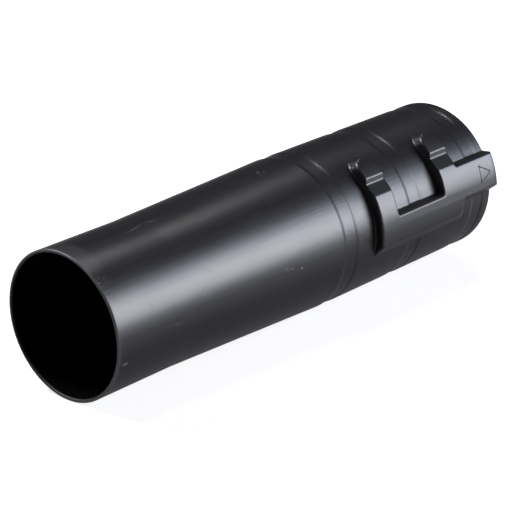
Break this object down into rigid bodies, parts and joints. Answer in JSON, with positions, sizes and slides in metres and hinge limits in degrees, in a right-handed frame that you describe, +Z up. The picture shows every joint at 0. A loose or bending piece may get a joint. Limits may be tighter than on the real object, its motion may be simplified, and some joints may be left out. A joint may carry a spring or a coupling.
{
  "type": "leaf blower nozzle tube",
  "caption": "Black moulded nozzle tube for a leaf blower, tapering to a round air mouth, with guide grooves and stepped bayonet channels that lock it on the blower's outlet pipe.",
  "frame": {"origin": "middle of the bounding box, on the surface that the tube lies on", "axes": "+X from the mouth towards the rear rim, along the tube as it lies, +Z up"},
  "size_m": [0.3114, 0.1018, 0.0934],
  "materials": {
    "black_plastic": "satin, with fine lengthwise die lines"
  },
  "bodies": {
    "root": {"nozzle_tube": "black_plastic"}
  },
  "joints": []
}
